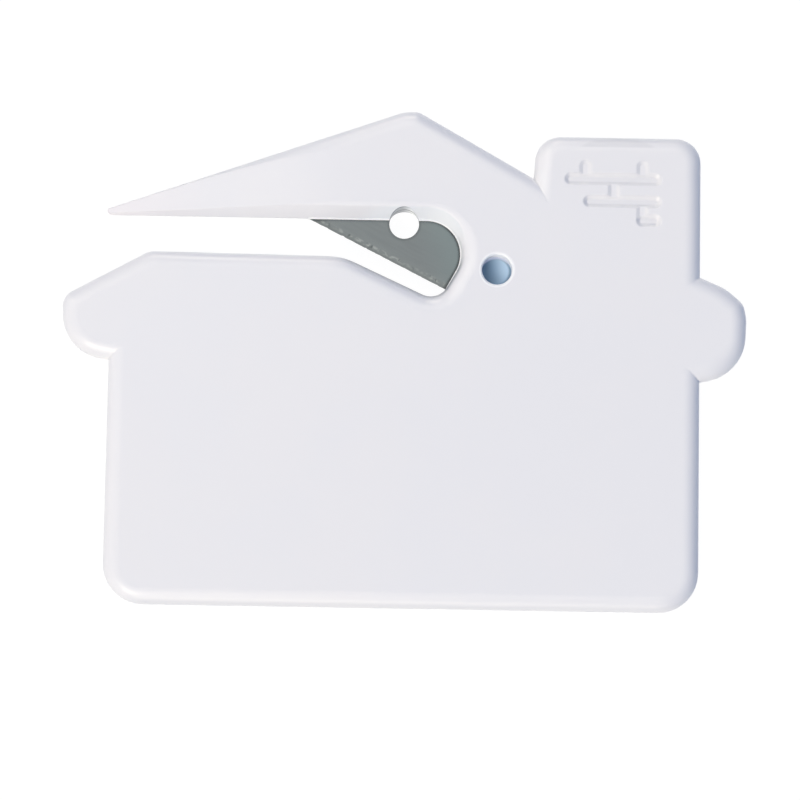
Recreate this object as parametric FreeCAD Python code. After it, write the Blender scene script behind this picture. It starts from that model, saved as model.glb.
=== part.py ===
import FreeCAD, Part
import math
import os

# Hand letter slitter in the shape of a small house. A white plastic body is
# moulded round a steel blade that lies across a slot under the roof's left
# half. The roof's left end is a thin nose that slides under the envelope's flap.
#
# The house is drawn upright in the XY plane, with y = 0 at its base and z = 0
# at mid-thickness. The last step moves the set to its own frame: lying on its
# back, centred on X and Y, with the back face at z = 0. Sizes are millimetres.

Vector = FreeCAD.Vector
FRONT = Vector(0, 0, 1)
ORIGIN = Vector(0, 0, 0)
TOLERANCE = 1e-6

# Moulded plate
THICKNESS = 4.0
HALF = THICKNESS / 2
EDGE_RADIUS = 1.9            # bullnose round the front and back edges
CUTTER_MARGIN = 1.0          # cutters stand this far outside what they cut
CUTTER_TOP = HALF + CUTTER_MARGIN

# Walls, base and chimney
WALL_LEFT = -33.55
WALL_RIGHT = 33.7
WALL_LEFT_TOP_Y = 27.65      # where the left eave's underside leaves the wall
WALL_RIGHT_TOP_Y = 26.2
BASE_CORNER_RADIUS = 4.6
CHIMNEY_TOP = 54.2
CHIMNEY_TOP_LEFT_X = 14.95
CHIMNEY_RADIUS = 2.9

# Roof
APEX_LEFT = (-0.55, 56.73)
APEX_RIGHT = (1.25, 56.85)
APEX_RADIUS = 2.0
ROOF_NOTCH = (14.58, 49.31)  # where the roof meets the chimney's left side
RIGHT_ROOF_FOOT_Y = 38.2     # where the roof leaves the chimney's right side

# Corners of the eaves, each with its radius
RIGHT_EAVE = ((38.75, 27.05, 5.3), (39.03, 33.4, 4.0), (38.7, 35.2, 2.0), (36.6, 37.0, 5.8))
LEFT_EAVE = ((-39.0, 34.85, 2.0), (-38.7, 28.4, 5.1))

# Slot that takes the envelope, blade window and nose
NOSE_EDGE_Y = 44.32          # straight lower edge of the nose
NOSE_CORNER_X = -36.08       # where that edge would meet the roof's left slope
NOSE_TIP_RADIUS = 0.4
NOSE_JOIN_X = -20.0          # the plate ends here and the nose point begins
WINDOW_CORNER_X = 9.28
WINDOW_RADIUS = 3.95
SLOT_END = (3.85, 34.92)
SLOT_END_RADIUS = 2.2
SLOT_BEND = (-7.2, 39.96)
SLOT_BEND_RADIUS = 7.35
LIP_CORNER = (-29.17, 40.22)
LIP_CORNER_RADIUS = 2.0

# Scarf that thins the lip over the blade and along the nose
SCARF_RUN = 0.75             # sideways for each unit of depth
SCARF_ARC_RADIUS = 3.4       # plan radius at the blade, less than the window's so it runs out

# Taper of the nose towards its tip
TAPER_START_X = -11.0        # where the taper would start without its blend
TAPER_SLOPE = 0.069
TAPER_BLEND_RADIUS = 100.0

# Steel blade
BLADE_LENGTH = 30.0
BLADE_WIDTH = 9.0
BLADE_THICKNESS = 0.4
BLADE_CLIP = 3.0             # clipped corners on the spine
BEVEL_WIDTH = 1.0
EDGE_LAND = 0.04             # thickness left along the ground edge
BLADE_ANGLE = -26.63         # the edge falls to the right
EDGE_CROSSING = Vector(0, 38.71, 0)   # the edge passes here
BLADE_START = -15.2          # along the edge, from EDGE_CROSSING

# Tool pins that locate and clamp the blade while the plastic is moulded
PIN_DIAMETER = 3.4
PIN_LINE = 4.5               # from the cutting edge
LOCATING_PIN_ALONG = -2.45
CLAMPING_PIN_ALONG = 9.43
PIN_RIM_CHAMFER = 0.15

# Brick joints sunk in the chimney's front
JOINT_WIDTH = 1.43
JOINT_FLOOR_WIDTH = 0.57
BED_JOINT_DEPTH = 0.32
HEAD_JOINT_DEPTH = 0.15      # the upright joints are shallower than the bed joints
BRICK_CORNER_RADIUS = 0.4
BRICK_LENGTH = 6.5
BRICK_ROWS_Y = (49.1, 46.55, 44.42)
BRICK_RIGHT_X = 28.36
BRICK_LEFT_X = (18.7, 20.85, 26.88)   # left end of each bed joint
FIRST_HEAD_JOINT_X = 20.38
TOP_JOINT_Y = 50.6

# Ejector-pin marks on the back
EJECTOR_DIAMETER = 4.0
EJECTOR_DEPTH = 0.08
EJECTOR_CENTRES = ((-27.0, 6.5), (27.0, 6.5), (27.0, 48.0), (-27.0, 31.0))


def rounded_outline(corners):
    """Closed wire of straight sides joined by tangent arcs, from (x, y, radius) corners."""
    points = [Vector(x, y, 0) for x, y, _ in corners]
    sides = []
    arcs = []
    for index, (_, _, radius) in enumerate(corners):
        corner = points[index]
        back = (points[index - 1] - corner).normalize()
        ahead = (points[(index + 1) % len(points)] - corner).normalize()
        half_angle = back.getAngle(ahead) / 2
        reach = radius / math.tan(half_angle)
        start = corner + back * reach
        end = corner + ahead * reach
        sides.append((start, end))
        if radius:
            inward = (back + ahead).normalize()
            middle = corner + inward * (radius / math.sin(half_angle) - radius)
            arcs.append(Part.Arc(start, middle, end).toShape())
        else:
            arcs.append(None)
    edges = []
    for index, arc in enumerate(arcs):
        if arc:
            edges.append(arc)
        leave = sides[index][1]
        arrive = sides[(index + 1) % len(sides)][0]
        edges.append(Part.makeLine(leave, arrive))
    return Part.Wire(edges)


def slab(wire, bottom, top):
    """Prism over a flat wire, from height bottom to height top."""
    face = Part.Face(wire)
    face.translate(Vector(0, 0, bottom))
    return face.extrude(Vector(0, 0, top - bottom))


def both_faces(cutter):
    """A cutter for the front together with its mirror image for the back."""
    return Part.makeCompound([cutter, cutter.mirror(ORIGIN, FRONT)])


def roof_left_y(x):
    """Height of the roof's left slope at x."""
    run = APEX_LEFT[0] - NOSE_CORNER_X
    return NOSE_EDGE_Y + (x - NOSE_CORNER_X) * (APEX_LEFT[1] - NOSE_EDGE_Y) / run


def house_plate():
    """House-shaped plate with its slot and bullnose edges, cut off square where the nose point begins."""
    corners = [
        (WALL_LEFT, 0, BASE_CORNER_RADIUS),
        (WALL_RIGHT, 0, BASE_CORNER_RADIUS),
        (WALL_RIGHT, WALL_RIGHT_TOP_Y, 0),
        *RIGHT_EAVE,
        (WALL_RIGHT, RIGHT_ROOF_FOOT_Y, 0),
        (WALL_RIGHT, CHIMNEY_TOP, CHIMNEY_RADIUS),
        (CHIMNEY_TOP_LEFT_X, CHIMNEY_TOP, CHIMNEY_RADIUS),
        (*ROOF_NOTCH, 0),
        (*APEX_RIGHT, APEX_RADIUS),
        (*APEX_LEFT, APEX_RADIUS),
        (NOSE_JOIN_X, roof_left_y(NOSE_JOIN_X), 0),
        (NOSE_JOIN_X, NOSE_EDGE_Y, 0),
        (WINDOW_CORNER_X, NOSE_EDGE_Y, WINDOW_RADIUS),
        (*SLOT_END, SLOT_END_RADIUS),
        (*SLOT_BEND, SLOT_BEND_RADIUS),
        (*LIP_CORNER, LIP_CORNER_RADIUS),
        *LEFT_EAVE,
        (WALL_LEFT, WALL_LEFT_TOP_Y, 0),
    ]
    plate = slab(rounded_outline(corners), -HALF, HALF)
    rim = []
    for edge in plate.Edges:
        on_face = abs(abs(edge.CenterOfMass.z) - HALF) < TOLERANCE
        on_join = all(abs(vertex.X - NOSE_JOIN_X) < TOLERANCE for vertex in edge.Vertexes)
        if on_face and not on_join:
            rim.append(edge)
    return plate.makeFillet(EDGE_RADIUS, rim)


def edge_rounding_cutter(start, end):
    """Bar that rounds the front edge of a plate whose side runs from start to end, plate on the left."""
    along = (end - start).normalize()
    inward = FRONT.cross(along)
    crest = start + inward * EDGE_RADIUS + FRONT * HALF
    foot = start + FRONT * (HALF - EDGE_RADIUS)
    centre = start + inward * EDGE_RADIUS + FRONT * (HALF - EDGE_RADIUS)
    middle = centre + (FRONT - inward).normalize() * EDGE_RADIUS
    above = crest + FRONT * CUTTER_MARGIN
    aside = foot - inward * CUTTER_MARGIN
    corner = aside + FRONT * (EDGE_RADIUS + CUTTER_MARGIN)
    section = Part.Wire([
        Part.Arc(crest, middle, foot).toShape(),
        Part.makeLine(foot, aside),
        Part.makeLine(aside, corner),
        Part.makeLine(corner, above),
        Part.makeLine(above, crest),
    ])
    return Part.Face(section).extrude(end - start)


def nose_point():
    """Point of the nose, with the same bullnose edges as the plate that it continues."""
    corners = [
        (NOSE_CORNER_X, NOSE_EDGE_Y, NOSE_TIP_RADIUS),
        (NOSE_JOIN_X, NOSE_EDGE_Y, 0),
        (NOSE_JOIN_X, roof_left_y(NOSE_JOIN_X), 0),
    ]
    point = slab(rounded_outline(corners), -HALF, HALF)
    tip = Vector(NOSE_CORNER_X, NOSE_EDGE_Y, 0)
    low = Vector(NOSE_JOIN_X, NOSE_EDGE_Y, 0)
    high = Vector(NOSE_JOIN_X, roof_left_y(NOSE_JOIN_X), 0)
    point = point.cut(both_faces(edge_rounding_cutter(tip, low)))
    return point.cut(both_faces(edge_rounding_cutter(high, tip)))


def window_centre_x():
    """X of the centre of the window's round end, where the straight edge of the nose begins."""
    corner = Vector(WINDOW_CORNER_X, NOSE_EDGE_Y, 0)
    slot_side = Vector(*SLOT_END, 0) - corner
    half_angle = slot_side.getAngle(Vector(-1, 0, 0)) / 2
    return WINDOW_CORNER_X - WINDOW_RADIUS / math.tan(half_angle)


def scarf_cutter():
    """Front cutter of the slanted lip: a straight run along the nose and a cone round the window."""
    land = BLADE_THICKNESS / 2
    rise = CUTTER_TOP - land
    below = NOSE_EDGE_Y - CUTTER_MARGIN
    left = NOSE_CORNER_X - CUTTER_MARGIN
    centre_x = window_centre_x()
    section = Part.makePolygon([
        Vector(left, NOSE_EDGE_Y, land),
        Vector(left, NOSE_EDGE_Y + SCARF_RUN * rise, CUTTER_TOP),
        Vector(left, below, CUTTER_TOP),
        Vector(left, below, land),
    ], True)
    straight = Part.Face(section).extrude(Vector(centre_x - left, 0, 0))
    foot = Vector(centre_x, NOSE_EDGE_Y - SCARF_ARC_RADIUS, land)
    cone = Part.makeCone(SCARF_ARC_RADIUS, SCARF_ARC_RADIUS + SCARF_RUN * rise, rise, foot, FRONT)
    return straight.fuse(cone)


def taper_cutter():
    """Front cutter that thins the nose towards its tip, blended into the face by a wide arc."""
    half_turn = math.atan(TAPER_SLOPE) / 2
    reach = TAPER_BLEND_RADIUS * math.tan(half_turn)
    sag = TAPER_BLEND_RADIUS * (1 / math.cos(half_turn) - 1)
    below = NOSE_EDGE_Y - CUTTER_MARGIN
    end_x = NOSE_CORNER_X - CUTTER_MARGIN
    start = Vector(TAPER_START_X + reach, below, HALF)
    middle = Vector(TAPER_START_X + sag * math.sin(half_turn), below, HALF - sag * math.cos(half_turn))
    slope = Vector(-1, 0, -TAPER_SLOPE).normalize()
    blend_end = Vector(TAPER_START_X, below, HALF) + slope * reach
    low = Vector(end_x, below, HALF - TAPER_SLOPE * (TAPER_START_X - end_x))
    high = Vector(end_x, below, CUTTER_TOP)
    over_start = Vector(start.x, below, CUTTER_TOP)
    section = Part.Wire([
        Part.Arc(start, middle, blend_end).toShape(),
        Part.makeLine(blend_end, low),
        Part.makeLine(low, high),
        Part.makeLine(high, over_start),
        Part.makeLine(over_start, start),
    ])
    return Part.Face(section).extrude(Vector(0, APEX_LEFT[1] - below, 0))


def blade_place():
    """Place of the blade: its edge along X of the strip, its width along Y."""
    turn = FreeCAD.Rotation(FRONT, BLADE_ANGLE)
    return FreeCAD.Placement(EDGE_CROSSING, turn)


def pin_centre(along):
    """Centre of a tool pin at a distance along the blade."""
    return blade_place().multVec(Vector(along, PIN_LINE, 0))


def slitter_blade():
    """Steel strip, ground from both sides to an edge, with clipped spine corners and its locating hole."""
    half = BLADE_THICKNESS / 2
    land = EDGE_LAND / 2
    profile = Part.makePolygon([
        Vector(BLADE_START, 0, -land),
        Vector(BLADE_START, BEVEL_WIDTH, -half),
        Vector(BLADE_START, BLADE_WIDTH, -half),
        Vector(BLADE_START, BLADE_WIDTH, half),
        Vector(BLADE_START, BEVEL_WIDTH, half),
        Vector(BLADE_START, 0, land),
    ], True)
    strip = Part.Face(profile).extrude(Vector(BLADE_LENGTH, 0, 0))
    for end, turn in ((BLADE_START, 1), (BLADE_START + BLADE_LENGTH, -1)):
        clip = Part.makePolygon([
            Vector(end, BLADE_WIDTH - BLADE_CLIP, 0),
            Vector(end + turn * BLADE_CLIP, BLADE_WIDTH, 0),
            Vector(end, BLADE_WIDTH, 0),
        ], True)
        strip = strip.cut(slab(clip, -HALF, HALF))
    hole_foot = Vector(LOCATING_PIN_ALONG, PIN_LINE, -HALF)
    strip = strip.cut(Part.makeCylinder(PIN_DIAMETER / 2, THICKNESS, hole_foot, FRONT))
    strip.Placement = blade_place()
    return strip.Solids[0]


def pin_holes():
    """Cutter for what the tool pins leave: one hole right through, and a seat on each side of the blade."""
    radius = PIN_DIAMETER / 2
    through_foot = pin_centre(LOCATING_PIN_ALONG) - FRONT * CUTTER_TOP
    through = Part.makeCylinder(radius, 2 * CUTTER_TOP, through_foot, FRONT)
    foot = pin_centre(CLAMPING_PIN_ALONG) + FRONT * (BLADE_THICKNESS / 2)
    seat = Part.makeCylinder(radius, HALF - BLADE_THICKNESS / 2, foot, FRONT)
    rim_centre = Vector(foot.x, foot.y, HALF - PIN_RIM_CHAMFER)
    rim = Part.makeCone(radius, radius + PIN_RIM_CHAMFER, PIN_RIM_CHAMFER, rim_centre, FRONT)
    return Part.makeCompound([through, both_faces(seat.fuse(rim))])


def brick_joint(start, end, depth):
    """Shallow round-ended groove with slanted walls in the front face, from start to end."""
    wide = JOINT_WIDTH / 2
    narrow = JOINT_FLOOR_WIDTH / 2
    floor = Vector(0, 0, HALF - depth)
    along = end - start
    aside = FRONT.cross(Vector(along).normalize())
    section = Part.makePolygon([
        start + floor + aside * narrow,
        start + FRONT * HALF + aside * wide,
        start + FRONT * HALF - aside * wide,
        start + floor - aside * narrow,
    ], True)
    groove = Part.Face(section).extrude(along)
    for centre in (start, end):
        groove = groove.fuse(Part.makeCone(narrow, wide, depth, centre + floor, FRONT))
    return groove


def wall_corners(cutter):
    """Edges that rise from an upright joint's floor to its top where two straight walls meet."""
    corners = []
    for edge in cutter.Edges:
        if not isinstance(edge.Curve, Part.Line):
            continue
        first, last = edge.Vertexes[0].Point, edge.Vertexes[-1].Point
        if abs(abs(last.z - first.z) - HEAD_JOINT_DEPTH) > TOLERANCE:
            continue
        walls = cutter.ancestorsOfType(edge, Part.Face)
        if all(isinstance(wall.Surface, Part.Plane) for wall in walls):
            corners.append(edge)
    return corners


def brick_joints():
    """Cutter for the bed joints and the staggered head joints of the brickwork."""
    joints = []
    for left, row in zip(BRICK_LEFT_X, BRICK_ROWS_Y):
        joints.append(brick_joint(Vector(left, row, 0), Vector(BRICK_RIGHT_X, row, 0), BED_JOINT_DEPTH))
    second_head_x = FIRST_HEAD_JOINT_X + BRICK_LENGTH
    middle_head_x = FIRST_HEAD_JOINT_X + BRICK_LENGTH / 2
    heads = (
        (FIRST_HEAD_JOINT_X, TOP_JOINT_Y, BRICK_ROWS_Y[0]),
        (second_head_x, TOP_JOINT_Y, BRICK_ROWS_Y[0]),
        (middle_head_x, BRICK_ROWS_Y[0], BRICK_ROWS_Y[1]),
        (second_head_x, BRICK_ROWS_Y[1], BRICK_ROWS_Y[2]),
    )
    for x, high, low in heads:
        joints.append(brick_joint(Vector(x, high, 0), Vector(x, low, 0), HEAD_JOINT_DEPTH))
    cutter = joints[0]
    for joint in joints[1:]:
        cutter = cutter.fuse(joint)
    cutter = cutter.removeSplitter()
    return cutter.makeFillet(BRICK_CORNER_RADIUS, wall_corners(cutter))


def ejector_marks():
    """Cutter for the faint round marks that the ejector pins leave on the back."""
    marks = []
    for x, y in EJECTOR_CENTRES:
        marks.append(Part.makeCylinder(EJECTOR_DIAMETER / 2, EJECTOR_DEPTH, Vector(x, y, -HALF), FRONT))
    return Part.makeCompound(marks)


def moulded_body(blade):
    """One plastic moulding: plate and nose, scarfed and tapered, with the blade's bed and the pin holes."""
    body = house_plate().fuse(nose_point()).removeSplitter()
    body = body.cut(both_faces(scarf_cutter()))
    body = body.cut(both_faces(taper_cutter()))
    body = body.cut(blade)
    body = body.cut(pin_holes())
    body = body.cut(brick_joints())
    body = body.cut(ejector_marks())
    return body.Solids[0]


def main():
    """Build both pieces, set them in the part's frame and write one STEP file each."""
    os.makedirs("parts", exist_ok=True)
    blade = slitter_blade()
    body = moulded_body(blade)
    box = body.optimalBoundingBox(False, False)
    to_frame = Vector(-box.Center.x, -box.Center.y, HALF)
    for name, shape in (("moulded_body", body), ("slitter_blade", blade)):
        shape.translate(to_frame)
        bounds = shape.optimalBoundingBox(False, False)
        print(name, shape.ShapeType, "valid", shape.isValid(), "solids", len(shape.Solids),
              "volume", round(shape.Volume, 2),
              "size", round(bounds.XLength, 3), round(bounds.YLength, 3), round(bounds.ZLength, 3))
        shape.exportStep("parts/" + name + ".step")
    print("frame moved by", round(to_frame.x, 3), round(to_frame.y, 3), round(to_frame.z, 3))


main()
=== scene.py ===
"""Studio scene of a hand letter slitter: a white moulded house round a ground steel blade.

Sizes are millimetres unless a docstring says metres. The slitter lies on its back, centred on X and
Y, with its back face at Z = 0.
"""

from __future__ import annotations

import logging
import math
from dataclasses import dataclass, field, replace
from enum import Enum

import bmesh
import bpy
from mathutils import Euler, Matrix, Vector

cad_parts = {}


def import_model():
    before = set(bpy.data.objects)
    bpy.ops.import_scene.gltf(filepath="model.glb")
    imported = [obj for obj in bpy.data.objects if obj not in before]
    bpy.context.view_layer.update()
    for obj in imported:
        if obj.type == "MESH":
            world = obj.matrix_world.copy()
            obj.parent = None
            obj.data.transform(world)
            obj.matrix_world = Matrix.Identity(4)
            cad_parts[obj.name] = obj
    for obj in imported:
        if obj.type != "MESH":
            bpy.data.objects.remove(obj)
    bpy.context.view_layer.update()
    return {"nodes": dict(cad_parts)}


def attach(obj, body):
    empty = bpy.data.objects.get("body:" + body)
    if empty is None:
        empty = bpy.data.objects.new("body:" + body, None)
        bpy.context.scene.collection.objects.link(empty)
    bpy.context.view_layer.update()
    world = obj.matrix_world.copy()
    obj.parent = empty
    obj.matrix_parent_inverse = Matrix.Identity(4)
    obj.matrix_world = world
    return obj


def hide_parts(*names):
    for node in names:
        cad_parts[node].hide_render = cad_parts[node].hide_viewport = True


LOG = logging.getLogger("letter_slitter")
MM = 0.001
BODY_NODE = "moulded_body"
BLADE_NODE = "slitter_blade"
ROOT = "root"

Colour = tuple[float, float, float]
Place = tuple[float, float, float]
Point = tuple[float, float]
Span = tuple[float, float]
Row = list[bmesh.types.BMVert]
Socket = bpy.types.NodeSocket
Input = Socket | float | Colour


class Face(Enum):
    """The two broad faces of the slitter, by the sign of their height."""

    FRONT = 1
    BACK = -1


class LampRole(Enum):
    """What each softbox is for."""

    KEY = "key"
    FRONT_LOW = "front_low"
    BACK_LEFT = "back_left"
    BACK_LOW = "back_low"
    BACK = "back"
    TOP_FRONT = "top_front"
    TOP_LEFT = "top_left"
    UNDER = "under"


@dataclass(frozen=True)
class BladeSetting:
    """How the blade is set in the plastic, and where the tool's two pins hold it.

    The pins are given along the cutting edge and square to it, from the point on the edge. The
    angle is in degrees.
    """

    edge_point: Place = (-0.035, 10.303, 2.0)
    angle: float = -26.63
    thickness: float = 0.4
    locating_pin: Point = (-2.45, 4.5)
    clamping_pin: Point = (9.43, 4.5)
    pin_radius: float = 1.7

    def matrix(self) -> Matrix:
        """Move from the blade's own axes to the slitter's frame."""
        turn = Matrix.Rotation(math.radians(self.angle), 4, "Z")
        return Matrix.Translation(Vector(self.edge_point)) @ turn

    def in_plan(self, point: Point) -> Point:
        """Place in the slitter's plan of a point that is given on the blade."""
        moved = self.matrix() @ Vector((*point, 0.0))
        return moved.x, moved.y

    def flat_height(self, face: Face) -> float:
        """Height of the blade's flat on one face, over its own middle."""
        return face.value * self.thickness / 2

    def from_rim(self, span: Span) -> Span:
        """Distances from a pin's axis, for a span that is given from its rim."""
        return self.pin_radius + span[0], self.pin_radius + span[1]


@dataclass(frozen=True)
class Pattern:
    """Noise that a finish shows: cells in a millimetre, finer octaves and the levels it spans."""

    scale: float
    detail: float
    span: Span = (0.3, 0.7)
    stretch: Place = (1.0, 1.0, 1.0)


class NodeGraph:
    """Node tree of a finish or of the surroundings, with short ways to add and join its nodes."""

    def __init__(self, tree: bpy.types.NodeTree) -> None:
        """Take a tree and empty it.

        Args:
            tree: Node tree of a material or a world.
        """
        self.tree = tree
        self.tree.nodes.clear()

    def add(self, kind: str, **settings: object) -> bpy.types.Node:
        """Add a node.

        Args:
            kind: Type of the node, without the ShaderNode prefix.
            settings: Properties of the node to set.

        Returns:
            The new node.
        """
        node = self.tree.nodes.new("ShaderNode" + kind)
        for name, value in settings.items():
            setattr(node, name, value)
        return node

    def plug(self, value: Input, socket: Socket) -> None:
        """Link an output to a socket, or set the socket where the value is a constant.

        Args:
            value: An output socket, a number or a tuple.
            socket: The input that takes it.
        """
        if isinstance(value, Socket):
            self.tree.links.new(value, socket)
        else:
            socket.default_value = value

    def math(self, operation: str, *values: Input, clamp: bool = False) -> Socket:
        """Add a Math node.

        Args:
            operation: Blender's name of the operation.
            values: Its inputs in order, each a socket or a number.
            clamp: Whether the result is kept between 0 and 1.

        Returns:
            The node's output.
        """
        node = self.add("Math", operation=operation, use_clamp=clamp)
        for value, socket in zip(values, node.inputs):
            self.plug(value, socket)
        return node.outputs[0]

    def blend(self, factor: Input, first: Socket, second: Socket) -> Socket:
        """Blend of two shaders.

        Args:
            factor: Share of the second shader.
            first: Shader at 0.
            second: Shader at 1.

        Returns:
            The blended shader.
        """
        node = self.add("MixShader")
        for value, socket in zip((factor, first, second), node.inputs):
            self.plug(value, socket)
        return node.outputs[0]

    def matt(self, grey: float) -> Socket:
        """Matt grey shader.

        Args:
            grey: Its level, the same in every channel.

        Returns:
            The shader.
        """
        node = self.add("BsdfDiffuse")
        node.inputs["Color"].default_value = (grey, grey, grey, 1.0)
        return node.outputs[0]

    def looked_at(self, rays: bpy.types.Node) -> Socket:
        """Whether a ray looks at the surface: straight, in a reflection or through glass.

        Args:
            rays: A Light Path node.

        Returns:
            1 for such a ray, 0 for a ray that carries light.
        """
        seen = rays.outputs["Is Camera Ray"]
        for name in ("Is Glossy Ray", "Is Transmission Ray"):
            seen = self.math("MAXIMUM", seen, rays.outputs[name])
        return seen


class FinishGraph(NodeGraph):
    """Node tree of one finish, with the masks and patterns that finishes are made of."""

    MIX_COLOURS = ("A_Color", "B_Color")
    MIX_RESULT = "Result_Color"

    def __init__(self, name: str) -> None:
        """Start an empty node material.

        Args:
            name: Name of the material.
        """
        self.material = bpy.data.materials.new(name)
        self.material.use_nodes = True
        super().__init__(self.material.node_tree)

    def ramp(self, value: Input, span: Span, start: float = 0.0, end: float = 1.0) -> Socket:
        """Smooth step of a value.

        Args:
            value: The socket to map.
            span: Values where the step starts and ends.
            start: Result before the span.
            end: Result after it.

        Returns:
            The stepped value.
        """
        node = self.add("MapRange", interpolation_type="SMOOTHSTEP")
        low, high = span
        for given, name in ((value, "Value"), (low, "From Min"), (high, "From Max"),
                            (start, "To Min"), (end, "To Max")):
            self.plug(given, node.inputs[name])
        return node.outputs["Result"]

    def fall(self, value: Input, span: Span) -> Socket:
        """Smooth step of a value from 1 down to 0."""
        return self.ramp(value, span, 1.0, 0.0)

    def vector_math(self, operation: str, vector: Socket, operand: Place) -> bpy.types.Node:
        """Add a Vector Math node.

        Args:
            operation: Blender's name of the operation.
            vector: Its first input.
            operand: Its second input, a constant.

        Returns:
            The new node.
        """
        node = self.add("VectorMath", operation=operation)
        self.plug(vector, node.inputs[0])
        self.plug(operand, node.inputs[1])
        return node

    def millimetres(self, turn: float = 0.0, origin: Place = (0.0, 0.0, 0.0)) -> Socket:
        """Object coordinates in millimetres.

        Args:
            turn: Angle about Z, in degrees, of the axes that are wanted.
            origin: Place of those axes.

        Returns:
            A vector output.
        """
        in_metres = tuple(MM * value for value in origin)
        shift = self.vector_math("SUBTRACT", self.add("TexCoord").outputs["Object"], in_metres)
        mapping = self.add("Mapping", vector_type="POINT")
        mapping.inputs["Rotation"].default_value = (0.0, 0.0, -math.radians(turn))
        mapping.inputs["Scale"].default_value = (1 / MM, 1 / MM, 1 / MM)
        self.plug(shift.outputs["Vector"], mapping.inputs["Vector"])
        return mapping.outputs[0]

    def stretch(self, vector: Socket, factors: Place) -> Socket:
        """Coordinates multiplied axis by axis."""
        return self.vector_math("MULTIPLY", vector, factors).outputs["Vector"]

    def axis(self, vector: Socket, name: str) -> Socket:
        """One component of a vector.

        Args:
            vector: The vector.
            name: X, Y or Z.

        Returns:
            The component.
        """
        node = self.add("SeparateXYZ")
        self.plug(vector, node.inputs[0])
        return node.outputs[name]

    def distance(self, vector: Socket, centre: Point) -> Socket:
        """Distance from an upright axis.

        Args:
            vector: Coordinates in millimetres.
            centre: Where the axis stands in plan.

        Returns:
            The distance in millimetres.
        """
        in_plan = self.stretch(vector, (1.0, 1.0, 0.0))
        return self.vector_math("DISTANCE", in_plan, (*centre, 0.0)).outputs["Value"]

    def along(self, vector: Socket, start: Point, way: Point) -> Socket:
        """How far a place lies from a start in one direction in plan.

        Args:
            vector: Coordinates in millimetres.
            start: Where the result is 0.
            way: The direction, whose length scales the result.

        Returns:
            The scaled distance, negative on the other side of the start.
        """
        moved = self.vector_math("SUBTRACT", vector, (*start, 0.0)).outputs["Vector"]
        return self.vector_math("DOT_PRODUCT", moved, (*way, 0.0)).outputs["Value"]

    def disc(self, vector: Socket, centre: Point, span: Span) -> Socket:
        """Mask of a round patch in plan.

        Args:
            vector: Coordinates in millimetres.
            centre: Middle of the patch.
            span: Distances from the middle where the mask starts and ends its fall.

        Returns:
            1 inside the patch and 0 outside.
        """
        return self.fall(self.distance(vector, centre), span)

    def noise(self, vector: Socket, pattern: Pattern) -> Socket:
        """Noise between 0 and 1.

        Args:
            vector: Coordinates in millimetres.
            pattern: Size of the noise. Its span isn't used.

        Returns:
            The noise's level.
        """
        node = self.add("TexNoise")
        self.plug(self.stretch(vector, pattern.stretch), node.inputs["Vector"])
        node.inputs["Scale"].default_value = pattern.scale
        node.inputs["Detail"].default_value = pattern.detail
        return node.outputs[0]

    def show(self, vector: Socket, pattern: Pattern,
             start: float = 0.0, end: float = 1.0) -> Socket:
        """A pattern's noise, stepped over its span.

        Args:
            vector: Coordinates in millimetres.
            pattern: The pattern.
            start: Result below its span.
            end: Result above it.

        Returns:
            The stepped noise.
        """
        return self.ramp(self.noise(vector, pattern), pattern.span, start, end)

    def openness(self, reach: float, samples: int) -> Socket:
        """Share of the sky that the surface sees, counting only what is nearer than reach.

        Args:
            reach: Distance in millimetres.
            samples: Rays that look for what is near.

        Returns:
            1 where nothing is near, less in corners.
        """
        node = self.add("AmbientOcclusion", samples=samples)
        node.inputs["Distance"].default_value = reach * MM
        return node.outputs["AO"]

    def tint(self, factor: Input, first: Socket | Colour, second: Socket | Colour) -> Socket:
        """Blend of two colours.

        Args:
            factor: Share of the second colour.
            first: Colour at 0.
            second: Colour at 1.

        Returns:
            The blended colour.
        """
        node = self.add("Mix", data_type="RGBA")
        self.plug(factor, node.inputs[0])
        sockets = {socket.identifier: socket for socket in (*node.inputs, *node.outputs)}
        for colour, name in zip((first, second), self.MIX_COLOURS):
            self.plug((*colour, 1.0) if isinstance(colour, tuple) else colour, sockets[name])
        return sockets[self.MIX_RESULT]

    def finish(self, shader: Socket) -> bpy.types.Material:
        """Send a shader to the output and return the material."""
        self.plug(shader, self.add("OutputMaterial").inputs["Surface"])
        return self.material


def scaled(colour: Colour, gains: Colour) -> Colour:
    """Colour multiplied channel by channel."""
    return tuple(channel * gain for channel, gain in zip(colour, gains))


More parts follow.
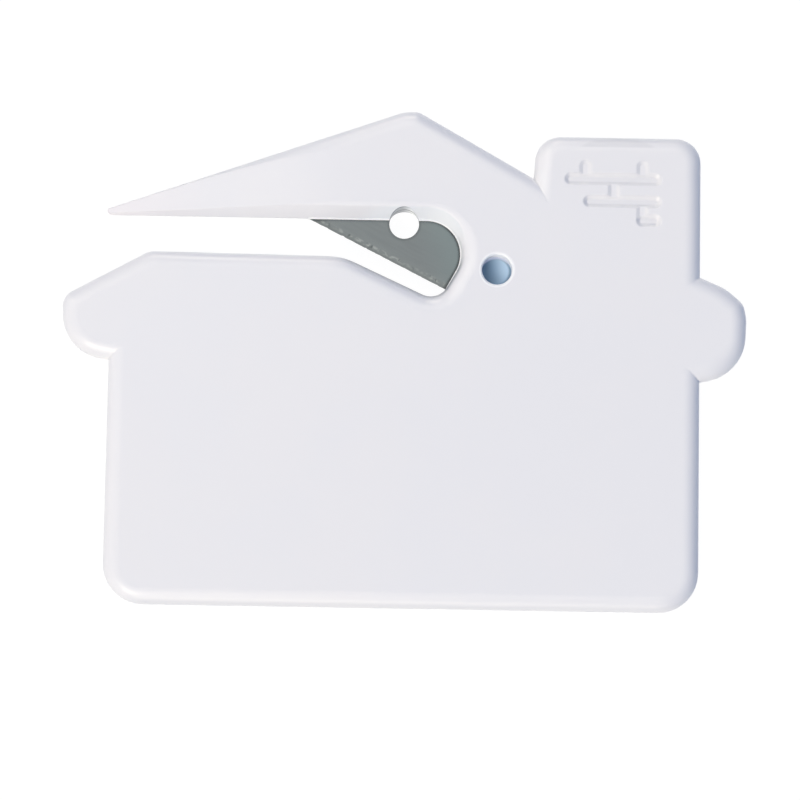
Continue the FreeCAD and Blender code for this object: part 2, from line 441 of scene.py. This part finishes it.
@dataclass(frozen=True)
class BodyPlastic:
    """Satin white moulded polystyrene.

    The slot's walls and lip, the brick joints and the pin hole carry painted shade and painted
    light, the nose is painted paler towards its tip and a ring round the pin seat carries a painted
    highlight. They are found by their place in plan and by the surface normal: its Z says how steep
    a wall is, and its Y whether it faces the roof or the base. The halo's and the hole's
    spans are distances from a pin's rim.
    """

    colour: Colour = (0.83, 0.822, 0.84)
    warm_flow: Colour = (1.004, 1.002, 0.998)
    cool_flow: Colour = (0.994, 0.997, 1.0)
    # painted light: a paler, warmer white towards the nose's tip, for light falling on and through
    # the taper
    nose_tip_painted_light: Colour = (0.875, 0.835, 0.85)
    # painted highlight: a paler white for the ring round the pin seat and for the window beads
    ring_painted_highlight: Colour = (0.94, 0.94, 0.95)
    # painted shade on the slot's roof-facing wall, and painted light on its lip
    slot_wall_painted_shade: Colour = (0.37, 0.38, 0.42)
    slot_lip_painted_light: Colour = (0.84, 0.86, 0.888)
    # painted shade on the steep walls of the brick joints
    brick_joint_painted_shade: Colour = (0.775, 0.768, 0.785)
    # painted shade and light on the through hole's wall: dark at its left, pale at its right
    hole_wall_painted_shade: Colour = (0.195, 0.22, 0.255)
    hole_wall_painted_light: Colour = (0.80, 0.83, 0.86)
    roughness: Span = (0.29, 0.32)
    ior: float = 1.5
    soft_edge: float = 0.22
    edge_samples: int = 6
    flow: Pattern = Pattern(0.09, 3.0, (0.35, 0.65))
    handling: Pattern = Pattern(0.6, 4.0)
    grain: Pattern = Pattern(7.0, 3.0)
    grain_strength: float = 0.12
    grain_depth: float = 0.01
    nose_x: Span = (-22.0, -36.0)
    nose_y: Span = (13.5, 14.5)
    halo: Span = (0.22, 0.44)
    slot_centre: Point = (1.5, 10.0)
    slot_fade: Span = (7.5, 9.5)
    wall_rise: Span = (0.35, 0.68)
    lip_rise: Span = (0.75, 0.95)
    facing_roof: Span = (0.0, 0.4)
    facing_base: Span = (-0.5, -0.1)
    brick_centre: Point = (24.0, 18.5)
    brick_fade: Span = (7.0, 7.5)
    joint_rise: Span = (0.95, 0.98)
    hole_sweep: Span = (-0.5, 1.1)
    hole_fade: Span = (0.02, 0.08)
    setting: BladeSetting = BladeSetting()

    def paint(self, graph: FinishGraph, place: Socket) -> Socket:
        """Colour of the plastic: flow clouds, painted light on the nose towards its tip and a
        painted highlight ring round the pin seat.

        Args:
            graph: Node tree that takes the nodes.
            place: Object coordinates in millimetres.

        Returns:
            The colour.
        """
        warm, cool = scaled(self.colour, self.warm_flow), scaled(self.colour, self.cool_flow)
        clouds = graph.tint(graph.show(place, self.flow), warm, cool)
        root, tip = self.nose_x
        past_root = graph.along(place, (root, 0.0), (-1.0, 0.0))
        reach = graph.math("DIVIDE", past_root, root - tip, clamp=True)
        above_slot = graph.ramp(graph.axis(place, "Y"), self.nose_y)
        # painted light: the nose turns paler and warmer towards its tip
        nose = graph.tint(graph.math("MULTIPLY", reach, above_slot), clouds, self.nose_tip_painted_light)
        # painted highlight: a pale ring round the pin seat
        seat = self.setting.in_plan(self.setting.clamping_pin)
        ring = graph.disc(place, seat, self.setting.from_rim(self.halo))
        return graph.tint(ring, nose, self.ring_painted_highlight)

    def slot_shade(self, graph: FinishGraph, place: Socket, rise: Socket, colour: Socket) -> Socket:
        """Paint shade and light into the slot: painted shade on the wall that faces the roof,
        painted light on the lip above the blade.

        Args:
            graph: Node tree that takes the nodes.
            place: Object coordinates in millimetres.
            rise: How level the surface is, from 0 to 1.
            colour: The plastic's colour so far.

        Returns:
            The shaded colour.
        """
        by_slot = graph.disc(place, self.slot_centre, self.slot_fade)
        outlook = graph.axis(graph.add("NewGeometry").outputs["Normal"], "Y")
        on_lip = graph.math("MULTIPLY", graph.fall(rise, self.lip_rise),
                            graph.fall(outlook, self.facing_base))
        on_wall = graph.math("MULTIPLY", graph.fall(rise, self.wall_rise),
                             graph.ramp(outlook, self.facing_roof))
        # painted light on the lip above the blade, then painted shade on the wall that faces the
        # roof
        lip = graph.tint(graph.math("MULTIPLY", on_lip, by_slot), colour, self.slot_lip_painted_light)
        return graph.tint(graph.math("MULTIPLY", on_wall, by_slot), lip, self.slot_wall_painted_shade)

    def shade(self, graph: FinishGraph, place: Socket) -> Socket:
        """Colour of the plastic with painted shade and light in the slot, the brick joints and the
        pin hole.

        Args:
            graph: Node tree that takes the nodes.
            place: Object coordinates in millimetres.

        Returns:
            The colour.
        """
        normal = graph.add("NewGeometry").outputs["Normal"]
        rise = graph.math("ABSOLUTE", graph.axis(normal, "Z"))
        slot = self.slot_shade(graph, place, rise, self.paint(graph, place))
        # painted shade: the steep walls of the brick joints are darkened
        by_bricks = graph.disc(place, self.brick_centre, self.brick_fade)
        on_joint = graph.math("MULTIPLY", graph.fall(rise, self.joint_rise), by_bricks)
        bricks = graph.tint(on_joint, slot, self.brick_joint_painted_shade)
        # painted shade and light: the through hole's wall goes from dark at its left to pale at its
        # right
        hole = self.setting.in_plan(self.setting.locating_pin)
        rightward = graph.along(place, hole, (1.0, 0.0))
        wall = graph.tint(graph.ramp(rightward, self.hole_sweep), self.hole_wall_painted_shade, self.hole_wall_painted_light)
        by_hole = graph.disc(place, hole, self.setting.from_rim(self.hole_fade))
        return graph.tint(by_hole, bricks, wall)

    def material(self) -> bpy.types.Material:
        """Build the plastic's node material.

        Returns:
            The material.
        """
        graph = FinishGraph("white_moulded_plastic")
        place = graph.millimetres()
        shader = graph.add("BsdfPrincipled")
        graph.plug(self.shade(graph, place), shader.inputs["Base Color"])
        graph.plug(graph.show(place, self.handling, *self.roughness), shader.inputs["Roughness"])
        shader.inputs["IOR"].default_value = self.ior
        edge = graph.add("Bevel", samples=self.edge_samples)
        edge.inputs["Radius"].default_value = self.soft_edge * MM
        grain = graph.add("Bump")
        grain.inputs["Strength"].default_value = self.grain_strength
        grain.inputs["Distance"].default_value = self.grain_depth * MM
        graph.plug(graph.noise(place, self.grain), grain.inputs["Height"])
        graph.plug(edge.outputs["Normal"], grain.inputs["Normal"])
        graph.plug(grain.outputs["Normal"], shader.inputs["Normal"])
        return graph.finish(shader.outputs["BSDF"])


@dataclass(frozen=True)
class BladeSteel:
    """Dark grey cold-rolled strip steel with a ground edge, and a blue-grey seat under the pin that
    carries painted shade and light.

    Places are given along the blade's edge and square to it. The hole's, the seat's, the rim's and
    the glow's fades are distances from a pin's rim.
    """

    colour: Colour = (0.130, 0.149, 0.165)
    # painted light: the flat turns paler and bluer far from the point
    far: Colour = (0.139, 0.171, 0.188)
    stroke: Colour = (0.192, 0.214, 0.230)
    # seat colours: painted shadow, painted light, painted shade at the rim and a painted glow of
    # the wall
    seat_painted_shadow: Colour = (0.075, 0.17, 0.28)
    seat_painted_light: Colour = (0.48, 0.65, 0.83)
    seat_rim_painted_shade: Colour = (0.13, 0.24, 0.37)
    wall_painted_glow: Colour = (0.60, 0.64, 0.80)
    roughness: Span = (0.30, 0.36)
    streak_gains: Span = (0.97, 1.03)
    ground_gain: float = 0.95
    nick_gain: float = 0.58
    # darker along the cutting edge, and painted shade round the hole's rim
    edge_dark_gain: float = 0.8
    # painted shade in the corner where the steel meets the plastic, driven by occlusion
    corner_shade_gain: float = 0.45
    rolling: Pattern = Pattern(1.0, 3.0, stretch=(0.3, 3.0, 1.0))
    fine_rolling: Pattern = Pattern(3.0, 3.0, stretch=(0.3, 3.0, 1.0))
    dashes: Pattern = Pattern(1.0, 1.0, (0.42, 0.62), (1.7, 2.6, 1.0))
    patches: Pattern = Pattern(0.45, 0.0, (0.38, 0.58))
    patch_shares: Span = (0.45, 1.0)
    nicks: Pattern = Pattern(1.0, 1.0, (0.30, 0.42), (2.6, 1.3, 1.0))
    far_way: Point = (1.0, 1.0)
    far_fade: Span = (2.0, 9.0)
    ground_fade: Span = (0.51, 0.76)
    edge_fade: Span = (0.14, 0.42)
    hole_fade: Span = (0.12, 0.36)
    corner_reach: float = 0.45
    corner_samples: int = 8
    corner_fade: Span = (0.86, 0.99)
    seat_fade: Span = (0.1, 0.2)
    seat_sweep: Span = (-1.6, 1.7)
    sweep_way: Point = (0.78, 0.62)
    rim_fade: Span = (-0.42, -0.12)
    rim_share: float = 0.85
    glow_centre: Point = (9.61, 4.14)
    glow_fade: Span = (0.03, 0.3)
    setting: BladeSetting = BladeSetting()

    def shaded(self, gain: float) -> Colour:
        """The steel's colour times a gain."""
        return scaled(self.colour, (gain, gain, gain))

    def strip(self, graph: FinishGraph, place: Socket) -> Socket:
        """Colour of the rolled flat: fine streaks lengthwise, and painted light that makes it a
        little paler far from the point.

        Args:
            graph: Node tree that takes the nodes.
            place: Coordinates along and across the blade, in millimetres.

        Returns:
            The colour.
        """
        low, high = self.streak_gains
        streaks = graph.tint(graph.show(place, self.rolling), self.shaded(low), self.shaded(high))
        # painted light: paler towards the far end of the blade
        away = graph.along(place, (0.0, 0.0), self.far_way)
        return graph.tint(graph.ramp(away, self.far_fade), streaks, self.far)

    def ground(self, graph: FinishGraph, place: Socket) -> Socket:
        """Colour of the ground facet: soft pale dashes, in patches, and small dark nicks.

        Args:
            graph: Node tree that takes the nodes.
            place: Coordinates along and across the blade, in millimetres.

        Returns:
            The colour.
        """
        patches = graph.show(place, self.patches, *self.patch_shares)
        pale = graph.math("MULTIPLY", graph.show(place, self.dashes), patches)
        dashed = graph.tint(pale, self.shaded(self.ground_gain), self.stroke)
        nicks = graph.show(place, self.nicks, 1.0, 0.0)
        return graph.tint(nicks, dashed, self.shaded(self.nick_gain))

    def paint(self, graph: FinishGraph, place: Socket) -> Socket:
        """Colour of the whole blade, darker along its edge, with painted shade round its hole and
        in the corner next to the plastic.

        Args:
            graph: Node tree that takes the nodes.
            place: Coordinates along and across the blade, in millimetres.

        Returns:
            The colour.
        """
        across = graph.axis(place, "Y")
        steel = graph.tint(graph.ramp(across, self.ground_fade),
                           self.ground(graph, place), self.strip(graph, place))
        # darker along the cutting edge, and painted shade round the hole's rim
        by_hole = graph.disc(place, self.setting.locating_pin,
                             self.setting.from_rim(self.hole_fade))
        by_edge = graph.fall(across, self.edge_fade)
        rim_darkened = graph.tint(graph.math("MAXIMUM", by_hole, by_edge), steel,
                          self.shaded(self.edge_dark_gain))
        # painted shade: the steel is darkened where the plastic closes over it
        opened = graph.openness(self.corner_reach, self.corner_samples)
        corner_shade = graph.fall(opened, self.corner_fade)
        return graph.tint(corner_shade, rim_darkened, self.shaded(self.corner_shade_gain))

    def seat_paint(self, graph: FinishGraph, place: Socket) -> Socket:
        """Colour of the blue-grey seat: painted shadow at its left, painted light at its right, a
        painted shade ring at its rim and the wall's painted glow on top.

        Args:
            graph: Node tree that takes the nodes.
            place: Coordinates along and across the blade, in millimetres.

        Returns:
            The colour.
        """
        pin = self.setting.clamping_pin
        # painted shadow at the seat's left, painted light at its right, painted shade at its rim,
        # painted glow of the wall
        rightward = graph.along(place, pin, self.sweep_way)
        steel = graph.tint(graph.ramp(rightward, self.seat_sweep), self.seat_painted_shadow, self.seat_painted_light)
        rim = graph.ramp(graph.distance(place, pin), self.setting.from_rim(self.rim_fade))
        rimmed = graph.tint(graph.math("MULTIPLY", rim, self.rim_share), steel, self.seat_rim_painted_shade)
        glow = graph.ramp(graph.distance(place, self.glow_centre),
                          self.setting.from_rim(self.glow_fade))
        return graph.tint(glow, rimmed, self.wall_painted_glow)

    def material(self) -> bpy.types.Material:
        """Build the steel's node material.

        Returns:
            The material.
        """
        graph = FinishGraph("ground_strip_steel")
        place = graph.millimetres(self.setting.angle, self.setting.edge_point)
        in_seat = graph.disc(place, self.setting.clamping_pin,
                             self.setting.from_rim(self.seat_fade))
        shader = graph.add("BsdfPrincipled")
        graph.plug(graph.tint(in_seat, self.paint(graph, place), self.seat_paint(graph, place)),
                   shader.inputs["Base Color"])
        graph.plug(graph.math("SUBTRACT", 1.0, in_seat), shader.inputs["Metallic"])
        graph.plug(graph.show(place, self.fine_rolling, *self.roughness),
                   shader.inputs["Roughness"])
        return graph.finish(shader.outputs["BSDF"])


def link_object(name: str, data: bpy.types.ID) -> bpy.types.Object:
    """Make an object of its data and put it in the scene.

    Args:
        name: Name of the object.
        data: Its mesh, lamp or camera.

    Returns:
        The new object.
    """
    made = bpy.data.objects.new(name, data)
    bpy.context.scene.collection.objects.link(made)
    return made


def bridge(bm: bmesh.types.BMesh, near: Row, far: Row, closed: bool = False) -> None:
    """Join two rows of vertices with quads.

    Args:
        bm: Mesh that holds the rows.
        near: First row.
        far: Second row, of the same length.
        closed: Whether the last vertices join the first ones as well.
    """
    pairs = list(zip(near, far))
    following = pairs[1:] + (pairs[:1] if closed else [])
    for (near_one, far_one), (near_next, far_next) in zip(pairs, following):
        bm.faces.new((near_one, near_next, far_next, far_one))


def make_piece(name: str, bm: bmesh.types.BMesh, material: bpy.types.Material,
               smooth_below: float = 30.0) -> bpy.types.Object:
    """Turn a finished bmesh, drawn in millimetres, into a piece that rides with the slitter.

    Args:
        name: Name of the piece.
        bm: The mesh, which is freed.
        material: Its finish.
        smooth_below: Edges that turn by less than this angle, in degrees, are shaded smooth.

    Returns:
        The new piece.
    """
    bmesh.ops.recalc_face_normals(bm, faces=bm.faces)
    bmesh.ops.scale(bm, vec=(MM, MM, MM), verts=bm.verts)
    for face in bm.faces:
        face.smooth = True
    mesh = bpy.data.meshes.new(name)
    bm.to_mesh(mesh)
    bm.free()
    mesh.set_sharp_from_angle(angle=math.radians(smooth_below))
    mesh.materials.append(material)
    piece = link_object(name, mesh)
    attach(piece, ROOT)
    LOG.info("built %s with %d faces", name, len(mesh.polygons))
    return piece


@dataclass(frozen=True)
class Window:
    """The blade's window, as the plastic's inner edge bounds it on both faces."""

    nose_edge: float = 15.913
    corner_x: float = 9.245
    round_radius: float = 3.95
    slot_side_turn: float = 60.0

    def round_centre(self) -> Point:
        """Centre of the window's round end."""
        reach = self.round_radius * math.tan(math.radians(self.slot_side_turn))
        return self.corner_x - reach, self.nose_edge - self.round_radius


@dataclass
class MouldedBody:
    """The white plastic house, with the fine beads that the mould leaves round its window, painted
    paler as a highlight.
    """

    finish: BodyPlastic = field(default_factory=BodyPlastic)
    window: Window = field(default_factory=Window)
    setting: BladeSetting = BladeSetting()
    bead_radius: float = 0.11
    bead_sides: int = 8
    bead_soft_edge: float = 0.03
    bead_left: float = -11.2
    hole_gap: Span = (-1.87, 1.45)
    side_run: float = 2.30
    arc_steps: int = 40

    def bead_paths(self) -> tuple[list[Vector], list[Vector]]:
        """Plan of the bead, in two runs, because the pin hole interrupts it.

        Returns:
            Points of the left run and of the right run, in millimetres.
        """
        y = self.window.nose_edge
        gap_start, gap_end = self.hole_gap
        left = [Vector((self.bead_left, y, 0.0)), Vector((gap_start, y, 0.0))]
        right = [Vector((gap_end, y, 0.0))]
        centre = Vector((*self.window.round_centre(), 0.0))
        first = math.radians(90.0)
        last = math.radians(-self.window.slot_side_turn / 2)
        for step in range(self.arc_steps + 1):
            angle = first + (last - first) * step / self.arc_steps
            outward = Vector((math.cos(angle), math.sin(angle), 0.0))
            right.append(centre + outward * self.window.round_radius)
        side = (right[-1] - right[-2]).normalized()
        right.append(right[-1] + side * self.side_run)
        return left, right

    def sweep(self, bm: bmesh.types.BMesh, path: list[Vector], height: float) -> None:
        """Sweep a fine round bead along a path.

        Args:
            bm: Mesh that takes the bead.
            path: Points of its centreline, in plan.
            height: Height of the centreline.
        """
        up = Vector((0.0, 0.0, 1.0))
        rings = []
        for index, point in enumerate(path):
            before = path[max(index - 1, 0)]
            after = path[min(index + 1, len(path) - 1)]
            aside = up.cross(after - before).normalized()
            ring = []
            for step in range(self.bead_sides):
                angle = math.tau * step / self.bead_sides
                offset = aside * math.cos(angle) + up * math.sin(angle)
                ring.append(bm.verts.new(point + up * height + offset * self.bead_radius))
            rings.append(ring)
        for ring, following in zip(rings, rings[1:]):
            bridge(bm, ring, following, closed=True)
        bm.faces.new(rings[0])
        bm.faces.new(rings[-1])

    def build_bead(self, face: Face, material: bpy.types.Material) -> None:
        """Build the bead on one face.

        Args:
            face: The face that it is on.
            material: The plastic.
        """
        bm = bmesh.new()
        height = self.setting.edge_point[2] + self.setting.flat_height(face)
        for path in self.bead_paths():
            self.sweep(bm, path, height)
        bead = make_piece("window_bead_" + face.name.lower(), bm, material)

    def build(self, node: bpy.types.Object) -> None:
        """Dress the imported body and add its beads.

        Args:
            node: The body's packed object.
        """
        node.data.materials.clear()
        node.data.materials.append(self.finish.material())
        LOG.info("dressed %s", node.name)
        # painted highlight: the beads take the paler ring white, so they read lighter than the
        # plastic
        pale = replace(self.finish, colour=self.finish.ring_painted_highlight, soft_edge=self.bead_soft_edge)
        bead_highlight_plastic = pale.material()
        for face in Face:
            self.build_bead(face, bead_highlight_plastic)


@dataclass(frozen=True)
class Wave:
    """A sine along the blade: its height, its radians in a millimetre and its phase."""

    height: float
    turn: float
    phase: float = 0.0

    def at(self, along: float) -> float:
        """Height of the wave at a place along the blade."""
        return self.height * math.sin(self.turn * along + self.phase)


@dataclass(frozen=True)
class Nick:
    """A rounded notch in the cutting edge: its place along the edge, its width and its depth."""

    middle: float
    width: float
    depth: float

    def at(self, along: float) -> float:
        """Depth of the notch at a place along the edge, nothing outside it."""
        reach = abs(along - self.middle) / (self.width / 2)
        return self.depth * max(0.0, 1 - reach * reach)


@dataclass
class Flat:
    """Vertices of one flat of the blade: its grind line, the rest of its outline and its hole."""

    grind: Row
    spine: Row
    hole: Row

    def rim(self) -> Row:
        """The outline from the end of the grind line round to its start."""
        return [self.grind[-1], *self.spine, self.grind[0]]


@dataclass
class SlitterBlade:
    """The steel strip across the slot, drawn along X from its own start, with its edge on Y = 0."""

    length: float = 30.0
    width: float = 9.0
    clip: float = 3.0
    bevel: float = 1.0
    land: float = 0.04
    start: float = -15.2
    column: float = 0.1
    hole_sides: int = 72
    wear: float = 0.006
    wear_waves: tuple[Wave, ...] = (Wave(1.0, 5.3), Wave(1.0, 1.7, 0.8))
    grind_waves: tuple[Wave, ...] = (Wave(0.02, 2.1), Wave(0.012, 6.7, 1.0))
    nicks: tuple[Nick, ...] = (
        Nick(-10.1, 0.35, 0.05),
        Nick(-8.0, 0.45, 0.07),
        Nick(-5.05, 0.3, 0.05),
        Nick(-4.0, 0.25, 0.03),
        Nick(-2.1, 0.2, 0.03),
        Nick(0.0, 0.5, 0.04),
        Nick(2.0, 0.25, 0.03),
        Nick(4.1, 0.3, 0.04),
    )
    setting: BladeSetting = BladeSetting()
    finish: BladeSteel = field(default_factory=BladeSteel)

    def edge_wear(self, along: float) -> float:
        """How far the edge is rubbed back at a place along it, in millimetres."""
        rubbed = self.wear * math.prod(1 + wave.at(along) for wave in self.wear_waves)
        return max(rubbed, *(nick.at(along) for nick in self.nicks))

    def grind_line(self, along: float) -> float:
        """Distance from the edge to where the grinding stops, which wanders a little."""
        return self.bevel + sum(wave.at(along) for wave in self.grind_waves)

    def columns(self) -> list[float]:
        """Places along the blade where its ground edge is drawn."""
        count = round(self.length / self.column)
        return [self.start + self.length * index / count for index in range(count + 1)]

    def build_flat(self, bm: bmesh.types.BMesh, face: Face) -> Flat:
        """Build one flat of the strip, with its pin hole, down to the grinding.

        Args:
            bm: Mesh that takes it.
            face: The face that it is on.

        Returns:
            The flat's vertices.
        """
        height = self.setting.flat_height(face)
        end = self.start + self.length
        grind = [bm.verts.new((x, self.grind_line(x), height)) for x in self.columns()]
        spine = [bm.verts.new((x, y, height)) for x, y in (
            (end, self.width - self.clip),
            (end - self.clip, self.width),
            (self.start + self.clip, self.width),
            (self.start, self.width - self.clip),
        )]
        centre = Vector((*self.setting.locating_pin, height))
        hole = []
        for step in range(self.hole_sides):
            angle = math.tau * step / self.hole_sides
            outward = Vector((math.cos(angle), math.sin(angle), 0.0))
            hole.append(bm.verts.new(centre + outward * self.setting.pin_radius))
        edges = []
        for loop in (grind + spine, hole):
            for first, second in zip(loop, loop[1:] + loop[:1]):
                edges.append(bm.edges.new((first, second)))
        bmesh.ops.triangle_fill(bm, edges=edges, use_beauty=True, normal=(0, 0, face.value))
        return Flat(grind, spine, hole)

    def build_edge(self, bm: bmesh.types.BMesh, face: Face) -> Row:
        """Build the vertices of one side of the cutting edge, rubbed and nicked.

        Args:
            bm: Mesh that takes them.
            face: The face that they are nearer to.

        Returns:
            The vertices from left to right.
        """
        height = face.value * self.land / 2
        return [bm.verts.new((x, self.edge_wear(x), height)) for x in self.columns()]

    def build_mesh(self) -> bmesh.types.BMesh:
        """Build the closed strip: two flats, two ground facets, the edge's land and the walls.

        Returns:
            The mesh, in millimetres on the blade's own axes.
        """
        bm = bmesh.new()
        front, back = (self.build_flat(bm, face) for face in Face)
        upper, lower = (self.build_edge(bm, face) for face in Face)
        rows = (front.grind, upper, lower, back.grind)
        for near, far in zip(rows, rows[1:]):
            bridge(bm, near, far)
        bridge(bm, front.rim(), back.rim())
        bridge(bm, front.hole, back.hole, closed=True)
        for end in (0, -1):
            bm.faces.new([row[end] for row in rows])
        return bm

    def build(self) -> None:
        """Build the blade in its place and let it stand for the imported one."""
        bm = self.build_mesh()
        bmesh.ops.transform(bm, matrix=self.setting.matrix(), verts=bm.verts)
        blade = make_piece("ground_blade", bm, self.finish.material())
        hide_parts(BLADE_NODE)


@dataclass(frozen=True)
class Softbox:
    """One square soft lamp, aimed at the slitter.

    Its angles are in degrees, its power in watts, and its side and distance in metres.
    """

    role: LampRole
    azimuth: float
    elevation: float
    power: float
    colour: Colour = (1.0, 0.90, 0.705)
    side: float = 1.2
    distance: float = 2.5

    def hang(self) -> None:
        """Hang the lamp on its sphere round the slitter."""
        data = bpy.data.lights.new(self.role.value + "_softbox", "AREA")
        data.shape = "SQUARE"
        data.size = self.side
        data.energy = self.power
        data.color = self.colour
        lamp = link_object(data.name, data)
        azimuth = math.radians(self.azimuth)
        elevation = math.radians(self.elevation)
        outward = Vector((math.cos(elevation) * math.cos(azimuth),
                          math.cos(elevation) * math.sin(azimuth),
                          math.sin(elevation)))
        lamp.location = outward * self.distance
        lamp.rotation_mode = "QUATERNION"
        lamp.rotation_quaternion = outward.to_track_quat("Z", "Y")
        lamp.visible_camera = False
        LOG.info("hung the %s softbox", self.role.value)


@dataclass
class Studio:
    """Floor, lamps, pale surroundings and camera.

    The floor's side and the camera's clipping distances are in metres, and its angles in degrees.
    """

    floor_side: float = 3.0
    floor_gap: float = 0.05
    floor_glow: float = 0.96
    floor_faint: float = 0.08
    floor_matt: float = 0.60
    lens: float = 94.5
    sensor: float = 36.0
    clip: Span = (0.01, 20.0)
    camera_place: Place = (-0.344, -23.856, 240.178)
    camera_pitch: float = 4.581
    camera_roll: float = 0.985
    world_colour: Colour = (0.0, 0.31, 1.0)
    world_strength: float = 0.32
    lamps: tuple[Softbox, ...] = (
        Softbox(LampRole.KEY, 240.0, 40.0, 36.4),
        Softbox(LampRole.FRONT_LOW, 265.0, 15.0, 12.1, side=1.0),
        Softbox(LampRole.BACK_LEFT, 140.0, 40.0, 13.1),
        Softbox(LampRole.BACK_LOW, 95.0, 15.0, 16.7, side=1.0),
        Softbox(LampRole.BACK, 85.0, 55.0, 9.5, side=1.0),
        Softbox(LampRole.TOP_FRONT, 260.0, 68.0, 8.0),
        Softbox(LampRole.TOP_LEFT, 140.0, 68.0, 7.6),
        Softbox(LampRole.UNDER, 0.0, -90.0, 34.0, colour=(1.0, 1.0, 1.0)),
    )

    def stand_camera(self) -> None:
        """Stand the camera over the slitter."""
        data = bpy.data.cameras.new("studio_camera")
        data.lens = self.lens
        data.sensor_width = self.sensor
        data.clip_start, data.clip_end = self.clip
        camera = link_object("studio_camera", data)
        turn = Euler((math.radians(self.camera_pitch), 0.0, 0.0)).to_matrix()
        roll = Euler((0.0, 0.0, math.radians(self.camera_roll))).to_matrix()
        place = Matrix.Translation(Vector(self.camera_place) * MM)
        camera.matrix_world = place @ (turn @ roll).to_4x4()
        bpy.context.scene.camera = camera

    def floor_finish(self) -> bpy.types.Material:
        """Pale floor: white to look at, matt to the lamps above and clear from below.

        Returns:
            The floor's material.
        """
        graph = FinishGraph("pale_floor")
        glow = graph.add("Emission")
        glow.inputs["Strength"].default_value = self.floor_glow
        white = graph.add("AddShader")
        for shader, socket in zip((glow.outputs[0], graph.matt(self.floor_faint)), white.inputs):
            graph.plug(shader, socket)
        rays = graph.add("LightPath")
        top = graph.blend(graph.looked_at(rays), graph.matt(self.floor_matt), white.outputs[0])
        from_below = graph.add("NewGeometry").outputs["Backfacing"]
        clear = graph.math("MAXIMUM", from_below, rays.outputs["Is Shadow Ray"])
        return graph.finish(graph.blend(clear, top, graph.add("BsdfTransparent").outputs[0]))

    def lay_floor(self) -> None:
        """Lay the floor under the slitter."""
        half = self.floor_side / 2
        corners = [(x * half, y * half, -self.floor_gap * MM)
                   for x, y in ((-1, -1), (1, -1), (1, 1), (-1, 1))]
        mesh = bpy.data.meshes.new("studio_floor")
        mesh.from_pydata(corners, [], [(0, 1, 2, 3)])
        mesh.materials.append(self.floor_finish())
        link_object("studio_floor", mesh)

    def light_world(self) -> None:
        """Set pale surroundings that look white to the eye and in reflections."""
        world = bpy.data.worlds.new("pale_studio")
        world.use_nodes = True
        graph = NodeGraph(world.node_tree)
        soft = graph.add("Background")
        soft.inputs["Color"].default_value = (*self.world_colour, 1.0)
        soft.inputs["Strength"].default_value = self.world_strength
        white = graph.add("Background")
        white.inputs["Color"].default_value = (1.0, 1.0, 1.0, 1.0)
        seen = graph.looked_at(graph.add("LightPath"))
        graph.plug(graph.blend(seen, soft.outputs[0], white.outputs[0]),
                   graph.add("OutputWorld").inputs["Surface"])
        bpy.context.scene.world = world

    def build(self) -> None:
        """Set up the whole studio."""
        self.stand_camera()
        self.lay_floor()
        self.light_world()
        for lamp in self.lamps:
            lamp.hang()
        bpy.context.scene.view_settings.view_transform = "Standard"


def main() -> None:
    """Dress the slitter and set up the studio."""
    logging.basicConfig(level=logging.INFO, format="%(name)s: %(message)s")
    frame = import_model()
    MouldedBody().build(frame["nodes"][BODY_NODE])
    SlitterBlade().build()
    Studio().build()


if __name__ == "__main__":
    main()
